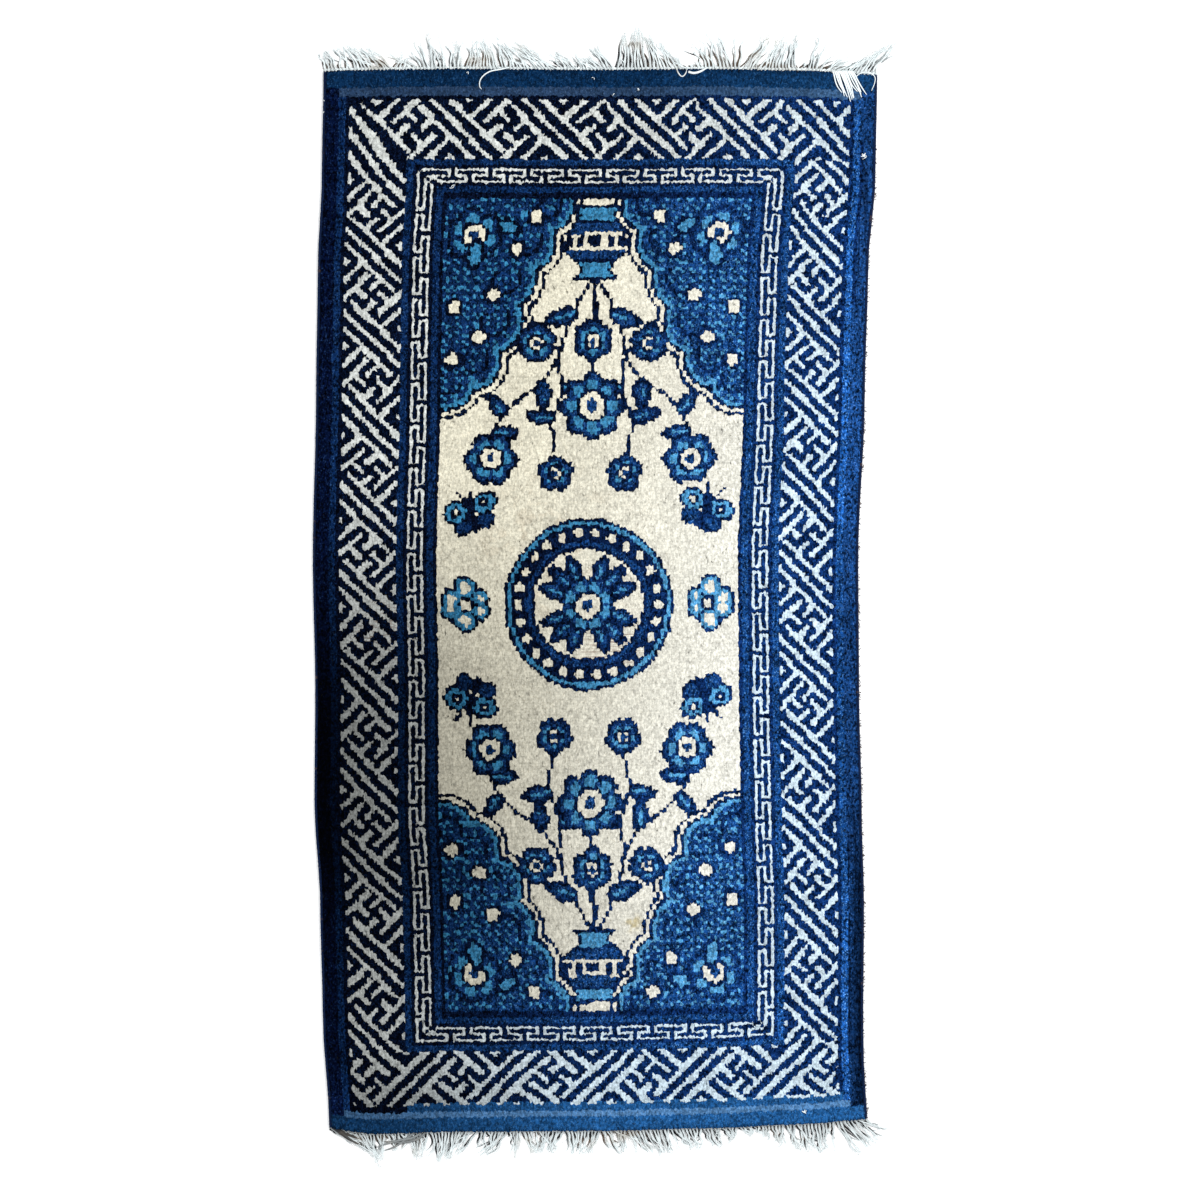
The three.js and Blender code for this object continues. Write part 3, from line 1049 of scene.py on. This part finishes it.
draw = np.random.default_rng(71)
shares = draw.uniform(0.0, FRAYED_SHARE, FRAYED_ENDS)
steps = np.linspace(-0.3, 1, FRAYED_RINGS)[None, :]
frayed = np.zeros((FRAYED_ENDS, FRAYED_RINGS, 3))
frayed[..., :2] = along_edge(right_edge, shares)[:, None]
frayed[..., 0] += draw.uniform(0.0006, 0.0028, (FRAYED_ENDS, 1)) * steps
frayed[..., 1] += draw.normal(0, 0.0013, (FRAYED_ENDS, 1)) * steps
frayed[..., 2] = draw.uniform(0.001, 0.006, (FRAYED_ENDS, 1))
frayed[..., 2] += draw.normal(0, 0.0006, (FRAYED_ENDS, 1)) * steps
frayed[..., 2] = np.maximum(frayed[..., 2], FRAYED_HALF)
frayed_points, walls, index = tubes(frayed, FRAYED_HALF, FRAYED_HALF, 4)
frayed_edge = piece("frayed_edge", frayed_points, closed(walls, index), rag_look, "wool_pile")
stand_for(frayed_edge, "rug_body")


# The fringes
# At each end the bare cotton warps stand out past a few rows of weft, loosely twisted in pairs.
# Years of sweeping have gathered them into uneven locks that lean about, with thin dark threads lying
# in the gaps between them as painted shadow, and loose hairs at the tips.
STRANDS = 150
STRAND_RINGS = 14
PLIES = 2
PLY_HALF = 0.0007
PLY_TWIST = 8.0
FRAY_START = 0.5
FRAY_WIDE = 0.011
LOCK_CHANCE = 0.22
SHORT_CHANCE = 0.1
STRAY_CHANCE = 0.08
# Half the width of the dark threads that paint the shadow between the strands.
GAP_SHADE_HALF = 0.0009
HAIRS = 90
HAIR_HALF = 0.0002
UPPER_WEB = 0.0040
LOWER_WEB = 0.0015
WEB_HIGH = 0.0021
WEB_LINES = 7
WEB_TUCK = 0.0005
WEAVE_HIGH = 0.00025
FLOOR_GAP = 0.0001

# How the strands fall: the place across from -1 at the left to 1, the reach outwards and the lean
# to the right at the tip, both in millimetres, and how dark the fringe is there, partly from grime
# and partly as painted shade.
REACH, LEAN, GRIME_AND_SHADE = 1, 2, 3
UPPER_FALL = [
    (-1, 26, -24, 0.75),
    (-0.9, 36, -18, 0.75),
    (-0.78, 32, -16, 0.75),
    (-0.7, 12, -8, 0.75),
    (-0.6, 40, -5, 0.75),
    (-0.45, 44, -8, 0.7),
    (-0.25, 28, -22, 0.7),
    (-0.1, 28, -20, 0.75),
    (-0.02, 16, -16, 0.7),
    (0.05, 42, -16, 0.8),
    (0.16, 50, -14, 0.8),
    (0.27, 30, -12, 0.8),
    (0.34, 5, -8, 0.6),
    (0.39, 42, -2, 0.6),
    (0.45, 46, 1, 0.85),
    (0.56, 44, 6, 0.85),
    (0.76, 44, 12, 0.85),
    (0.86, 12, 10, 0.7),
    (0.93, 38, 20, 0.75),
    (1, 54, 22, 0.75),
]
LOWER_FALL = [
    (-1, 16, 18, 1.3),
    (-0.9, 26, 18, 1.2),
    (-0.84, 42, 12, 1.1),
    (-0.76, 28, -2, 1.0),
    (-0.6, 32, -10, 0.95),
    (-0.45, 26, -12, 0.95),
    (-0.35, 30, -10, 0.9),
    (-0.1, 36, -4, 0.9),
    (0.2, 34, 5, 0.9),
    (0.42, 26, 9, 0.95),
    (0.55, 12, 8, 1.0),
    (0.68, 34, 12, 1.0),
    (0.85, 36, 12, 1.0),
    (1, 24, 22, 1.0),
]

cotton = Recipe("fringe cotton", {"Specular IOR Level": 0.1, "Sheen Weight": 0.1})
threads = cotton.noise((900, 300, 900), 3.0)
patches = cotton.noise((14, 30, 14), 3.0, 0.6)
shade = cotton.add("ShaderNodeAttribute", {"attribute_name": "shade"}, {}, 2)
white_cotton = cotton.mix(threads, from_srgb(210, 218, 218), from_srgb(240, 248, 249))
dust = cotton.between(patches, 0.56, 0.7, 0.0, 0.45)
cotton_colour = cotton.mix(dust, white_cotton, from_srgb(160, 146, 124))
# The dark colour that the shade value leads to is black for painted shadow, and brown in patches for
# dirt.
soot_and_shadow = cotton.mix(cotton.between(patches, 0.48, 0.6), from_srgb(15, 15, 19), from_srgb(84, 70, 56))
ridges = cotton.add(
    "ShaderNodeBump", {}, {"Strength": 0.4, "Distance": 0.0003, "Height": threads}
)
cotton_look = cotton.finish(
    {
        "Base Color": cotton.mix(shade, cotton_colour, soot_and_shadow),
        "Roughness": 0.8 + 0.15 * threads,
        "Normal": ridges,
    }
)


def follow(table, column, place):
    """A column of a fall table at any place across, eased between its rows."""
    rows = np.array(table)
    at, values = rows[:, 0], rows[:, column]
    i = np.clip(np.searchsorted(at, place) - 1, 0, len(at) - 2)
    share = np.clip((place - at[i]) / (at[i + 1] - at[i]), 0, 1)
    share = share**2 * (3 - 2 * share)
    return values[i] * (1 - share) + values[i + 1] * share


def twisted(paths, draw):
    """Two plies round each strand's line, which part sideways past the place where it frays."""
    count, rings = paths.shape[:2]
    t = np.linspace(0, 1, rings)[None, :, None]
    angle = PLY_TWIST * t + draw.uniform(0, 6, (count, 1, 1)) + np.arange(PLIES) * 2 * math.pi / PLIES
    apart = draw.uniform(-1, 1, (count, 1, PLIES)) * FRAY_WIDE * np.clip(t - FRAY_START, 0, 1) ** 1.4
    _, aside = directions(paths)
    sideways = (0.9 * PLY_HALF * np.cos(angle) + apart)[..., None] * aside[:, :, None]
    plies = paths[:, :, None] + sideways
    plies[..., 2] += 0.9 * PLY_HALF * (1 + np.sin(angle))
    return plies.transpose(0, 2, 1, 3).reshape(count * PLIES, rings, 3)


def cotton_piece(name, node, points, faces, shades):
    """A piece of white cotton, with how dark it is, from soiling and painted shadow, as a value on
    its points.
    """
    made = piece(name, points, faces, cotton_look, "cotton_fringe")
    fill(made.data.attributes.new("shade", "FLOAT", "POINT"), "value", shades)
    stand_for(made, node)


def yarns(name, node, plies, shades, halves):
    """Many plies as one mesh, each thinner towards its tip."""
    taper = 1 - 0.5 * np.linspace(0, 1, plies.shape[1])[None, :] ** 3
    points, walls, index = tubes(plies, halves * taper, halves * taper, 4)
    points[:, 2] = np.maximum(points[:, 2], FLOOR_GAP)
    cotton_piece(name, node, points, closed(walls, index), np.repeat(shades.ravel(), 4))


def fringe(name, node, edge, end, table, web_deep, seed):
    """The strands, the dark threads that paint the shadow between them and the hairs past one end,
    where end is 1 at the top and -1 below.
    """
    draw = np.random.default_rng(seed)
    across = -1 + 2 * (np.arange(STRANDS) + 0.5) / STRANDS
    roots = along_edge(edge, (across + 1) / 2)
    lock = np.cumsum(draw.random(STRANDS) < LOCK_CHANCE)
    locks = np.arange(lock[-1] + 1)
    middle = np.array([across[lock == i].mean() if (lock == i).any() else 0 for i in locks])
    pull = draw.uniform(0.05, 0.55, len(locks))[lock] * (middle[lock] - across) * CLOTH_FLAT[0] / 2
    swing = draw.normal(0, 0.007, len(locks))[lock] + draw.normal(0, 0.0025, STRANDS)
    reach = follow(table, REACH, across) / 1000 * draw.uniform(0.75, 1.12, len(locks))[lock]
    reach = reach * draw.uniform(0.8, 1.06, STRANDS)
    short = draw.random(STRANDS) < SHORT_CHANCE
    reach = np.where(short, reach * draw.uniform(0.35, 0.6, STRANDS), reach)
    lean = follow(table, LEAN, across) / 1000 + swing
    stray = draw.random(STRANDS) < STRAY_CHANCE
    lean = np.where(stray, lean + draw.normal(0, 0.014, STRANDS), lean)
    t = np.linspace(0, 1, STRAND_RINGS)[None, :]
    wave = draw.uniform(0.0005, 0.0032, (STRANDS, 1)) * np.sin(
        2 * math.pi * (t * draw.uniform(0.6, 2.0, (STRANDS, 1)) + draw.random((STRANDS, 1)))
    )
    layer = draw.integers(0, 3, (STRANDS, 1))
    paths = np.zeros((STRANDS, STRAND_RINGS, 3))
    paths[..., 0] = roots[:, :1] + lean[:, None] * t**1.5 + pull[:, None] * t**0.8 + wave * t
    root_in = draw.uniform(0.0008, 0.0024, (STRANDS, 1))
    paths[..., 1] = roots[:, 1:] + end * ((reach[:, None] + root_in) * t - root_in)
    fall = np.exp(-t * 6)
    paths[..., 2] = PLY_HALF + layer * 0.0007 * (1 - fall) + WEB_HIGH * fall
    plies = twisted(paths, draw)
    # Near their roots the strands are darkened, partly by grime and partly by painted shade.
    darkness = follow(table, GRIME_AND_SHADE, across)[:, None]
    darkest = 0.3 * np.repeat(darkness**3, PLIES, axis=0)
    shades = draw.normal(0.03, 0.05, (STRANDS * PLIES, 1)) + darkest * (1 - t)

    darkness = darkness * draw.uniform(0.7, 1.2, len(locks))[lock][:, None]
    darkness = darkness * draw.uniform(0.7, 1.2, (STRANDS, 1))
    # Thin dark threads lie low beside the strands as painted shadow in the gaps, darkest near the
    # roots.
    painted_shade = paths.copy()
    painted_shade[..., 0] += draw.normal(-0.0022, 0.0005, (STRANDS, 1))
    start = 0.7 * web_deep
    far = reach[:, None] * draw.uniform(0.5, 1.0, (STRANDS, 1))
    painted_shade[..., 1] = roots[:, 1:] + end * (start + (far - start) * t)
    painted_shade[..., 2] = GAP_SHADE_HALF + WEB_HIGH * 0.6 * fall
    gap_shade = 1.9 * darkness * (1 - t) ** 0.5

    of = draw.integers(0, STRANDS, HAIRS)
    hairs = paths[of]
    bow = draw.normal(0, 0.006, (HAIRS, 1)) * np.sin(math.pi * t)
    hairs[..., 0] += bow + draw.normal(0, 0.004, (HAIRS, 1)) * t
    hairs[..., 1] += end * draw.uniform(0.0, 0.006, (HAIRS, 1)) * t
    hairs[..., 2] += 0.001
    wisps = draw.uniform(0.15, 0.6, (HAIRS, 1)) * np.ones(STRAND_RINGS)

    gap_shade_halves = GAP_SHADE_HALF * (0.6 + 0.5 * follow(table, GRIME_AND_SHADE, across))
    halves = [np.full(len(plies), PLY_HALF), gap_shade_halves, np.full(HAIRS, HAIR_HALF)]
    halves = np.concatenate(halves)[:, None]
    halves = halves * draw.uniform(0.8, 1.2, halves.shape)
    shades = np.clip(np.vstack([shades, gap_shade, wisps]), 0, 1)
    yarns(name, node, np.vstack([plies, painted_shade, hairs]), shades, halves)


def web(name, node, edge, end, deep):
    """A few rows of plain weft outside the last knots, worked over and under the warps."""
    columns = 2 * STRANDS + 1
    share = np.linspace(0, 1, columns)
    steps = np.linspace(0, 1, WEB_LINES)[:, None]
    top = np.zeros((WEB_LINES, columns, 3))
    top[..., :2] = along_edge(edge, share)[None]
    top[..., 1] += end * (steps * deep - WEB_TUCK)
    over = np.cos(math.pi * np.arange(columns)) * np.cos(math.pi * np.arange(WEB_LINES))[:, None]
    top[..., 2] = WEB_HIGH * (0.82 - 0.45 * steps**4) + WEAVE_HIGH * over
    bottom = top * (1, 1, 0) + (0, 0, FLOOR_GAP)
    index = np.arange(top[..., 0].size).reshape(WEB_LINES, columns)
    around = outline(index)
    ahead = np.roll(around, -1)
    quads = cells(index)
    walls = np.stack([around, around + index.size, ahead + index.size, ahead], axis=-1)
    faces = np.vstack([quads, quads[:, ::-1] + index.size, walls])
    points = np.vstack([top.reshape(-1, 3), bottom.reshape(-1, 3)])
    faces = faces[:, ::-1] if end > 0 else faces
    cotton_piece(name, node, points, faces, np.zeros(len(points)))


fringe("warps_upper", "fringe_upper", upper_edge, 1, UPPER_FALL, UPPER_WEB, 5)
web("weft_upper", "fringe_upper", upper_edge, 1, UPPER_WEB)
fringe("warps_lower", "fringe_lower", lower_edge, -1, LOWER_FALL, LOWER_WEB, 6)
web("weft_lower", "fringe_lower", lower_edge, -1, LOWER_WEB)


# The loose yarns
# One lock of the upper fringe has been folded back over the pile, and a few cotton yarns and bits
# of lint lie on it. At the lower left corner soiled yarns lie across the fringe.
# Places and sizes are in millimetres from the middle of the rug.
FOLDED = {"count": 13, "roots": (288, 312), "tips": (298, 325), "reach": (603, 616), "half": 0.95}

# Half of each yarn's thickness, and the points that it runs through.
LOOSE = [
    (0.9, [
        (-104, 646, 3), (-114, 643, 9), (-128, 641, 10),
        (-139, 632, 10), (-140, 622, 10), (-137, 619, 10),
    ]),
    (0.8, [(98, 647, 3), (100, 639, 10), (105, 633, 10.5), (110, 638, 10), (112, 647, 3)]),
    (1.5, [(113, 640, 9.5), (119, 638, 10.3), (127, 640, 10.3), (135, 645, 6)]),
    (0.6, [
        (315, 634, 9.5), (321, 639, 9.8), (330, 640, 9),
        (339, 635, 9), (338, 626, 10), (334, 617, 10),
    ]),
]

# The same for the soiled yarns, with how dark each is between the two.
SOILED_YARNS = [
    (1.6, 0.78, [(-203, -639, 3), (-212, -650, 5), (-232, -655, 4), (-258, -653, 2)]),
    (1.5, 0.72, [(-208, -640, 3), (-219, -649, 5), (-236, -651, 5), (-262, -659, 2)]),
    (1.4, 0.75, [(-216, -640, 3), (-226, -648, 5), (-240, -659, 4), (-254, -664, 2)]),
    (1.7, 0.97, [(-318, -636, 3), (-308, -643, 4), (-296, -652, 3), (-284, -656, 2)]),
    (1.7, 0.97, [(-313, -637, 3), (-303, -643, 4), (-293, -647, 3), (-283, -651, 2)]),
    (1.4, 0.94, [(-310, -639, 3), (-301, -647, 4), (-290, -655, 3), (-278, -659, 2)]),
]

# Where each tangle of lint lies, how many threads it has, and how long they are at most.
LINT = [
    ((325, 538), 7, 8),
    ((-154, 638), 2, 3),
    ((-2, 632), 2, 3),
    ((53, 619), 3, 3.5),
    ((21, 611), 2, 3),
    ((-172, 501), 2, 7),
    ((253, -616), 4, 6),
    ((328, -564), 3, 4),
    ((-328, 606), 1, 2.5),
    ((-328, 591), 1, 2.5),
]
LINT_HALF = 0.4
LOOSE_RINGS = 24


def rounded(points):
    """A smooth line of even steps along a few points in millimetres from the middle of the rug."""
    points = np.array(points, dtype=float)
    for _ in range(3):
        near, far = 0.75 * points[:-1] + 0.25 * points[1:], 0.25 * points[:-1] + 0.75 * points[1:]
        between = np.stack([near, far], axis=1).reshape(-1, 3)
        points = np.vstack([points[:1], between, points[-1:]])
    return course(points / 1000 + (body_middle.x, body_middle.y, 0), LOOSE_RINGS)


draw = np.random.default_rng(91)
lines, halves = [], []
for share in np.linspace(0, 1, FOLDED["count"]):
    root = np.interp(share, (0, 1), FOLDED["roots"])
    tip = np.interp(share, (0, 1), FOLDED["tips"]) + draw.normal(0, 2)
    end = draw.uniform(*FOLDED["reach"])
    middle = (root + tip) / 2 + draw.normal(0, 1.5)
    rise = draw.uniform(0, 1)
    turned_back = [(root, 637, 3), (root - 2, 642, 7), (root, 640, 10.5 + rise)]
    lines.append(rounded([*turned_back, (middle, 624, 10.3 + rise), (tip, end, 9.8)]))
    halves.append(FOLDED["half"])
for half, points in LOOSE:
    lines.append(rounded(points))
    halves.append(half)
for at, count, length in LINT:
    for _ in range(count):
        turn, bend = draw.uniform(0, 2 * math.pi), draw.normal(0, 0.8)
        run = length * draw.uniform(0.5, 1) * np.array([math.cos(turn), math.sin(turn)])
        start = np.array(at) - run / 2 + draw.normal(0, 0.8, 2)
        middle = start + run / 2 + np.array([-run[1], run[0]]) * bend * 0.4
        lines.append(rounded([(*start, 9.2), (*middle, 10.2), (*(start + run), 9.6)]))
        halves.append(LINT_HALF)
halves = np.array(halves)[:, None] / 1000
yarns("loose_yarns", "fringe_upper", np.stack(lines), np.zeros((len(lines), LOOSE_RINGS)), halves)

lines = np.stack([rounded(points) for _, _, points in SOILED_YARNS])
halves = np.array([half for half, _, _ in SOILED_YARNS])[:, None] / 1000
grimes = np.array([darkness for _, darkness, _ in SOILED_YARNS])[:, None] * np.ones(LOOSE_RINGS)
yarns("soiled_yarns", "fringe_lower", lines, grimes, halves)
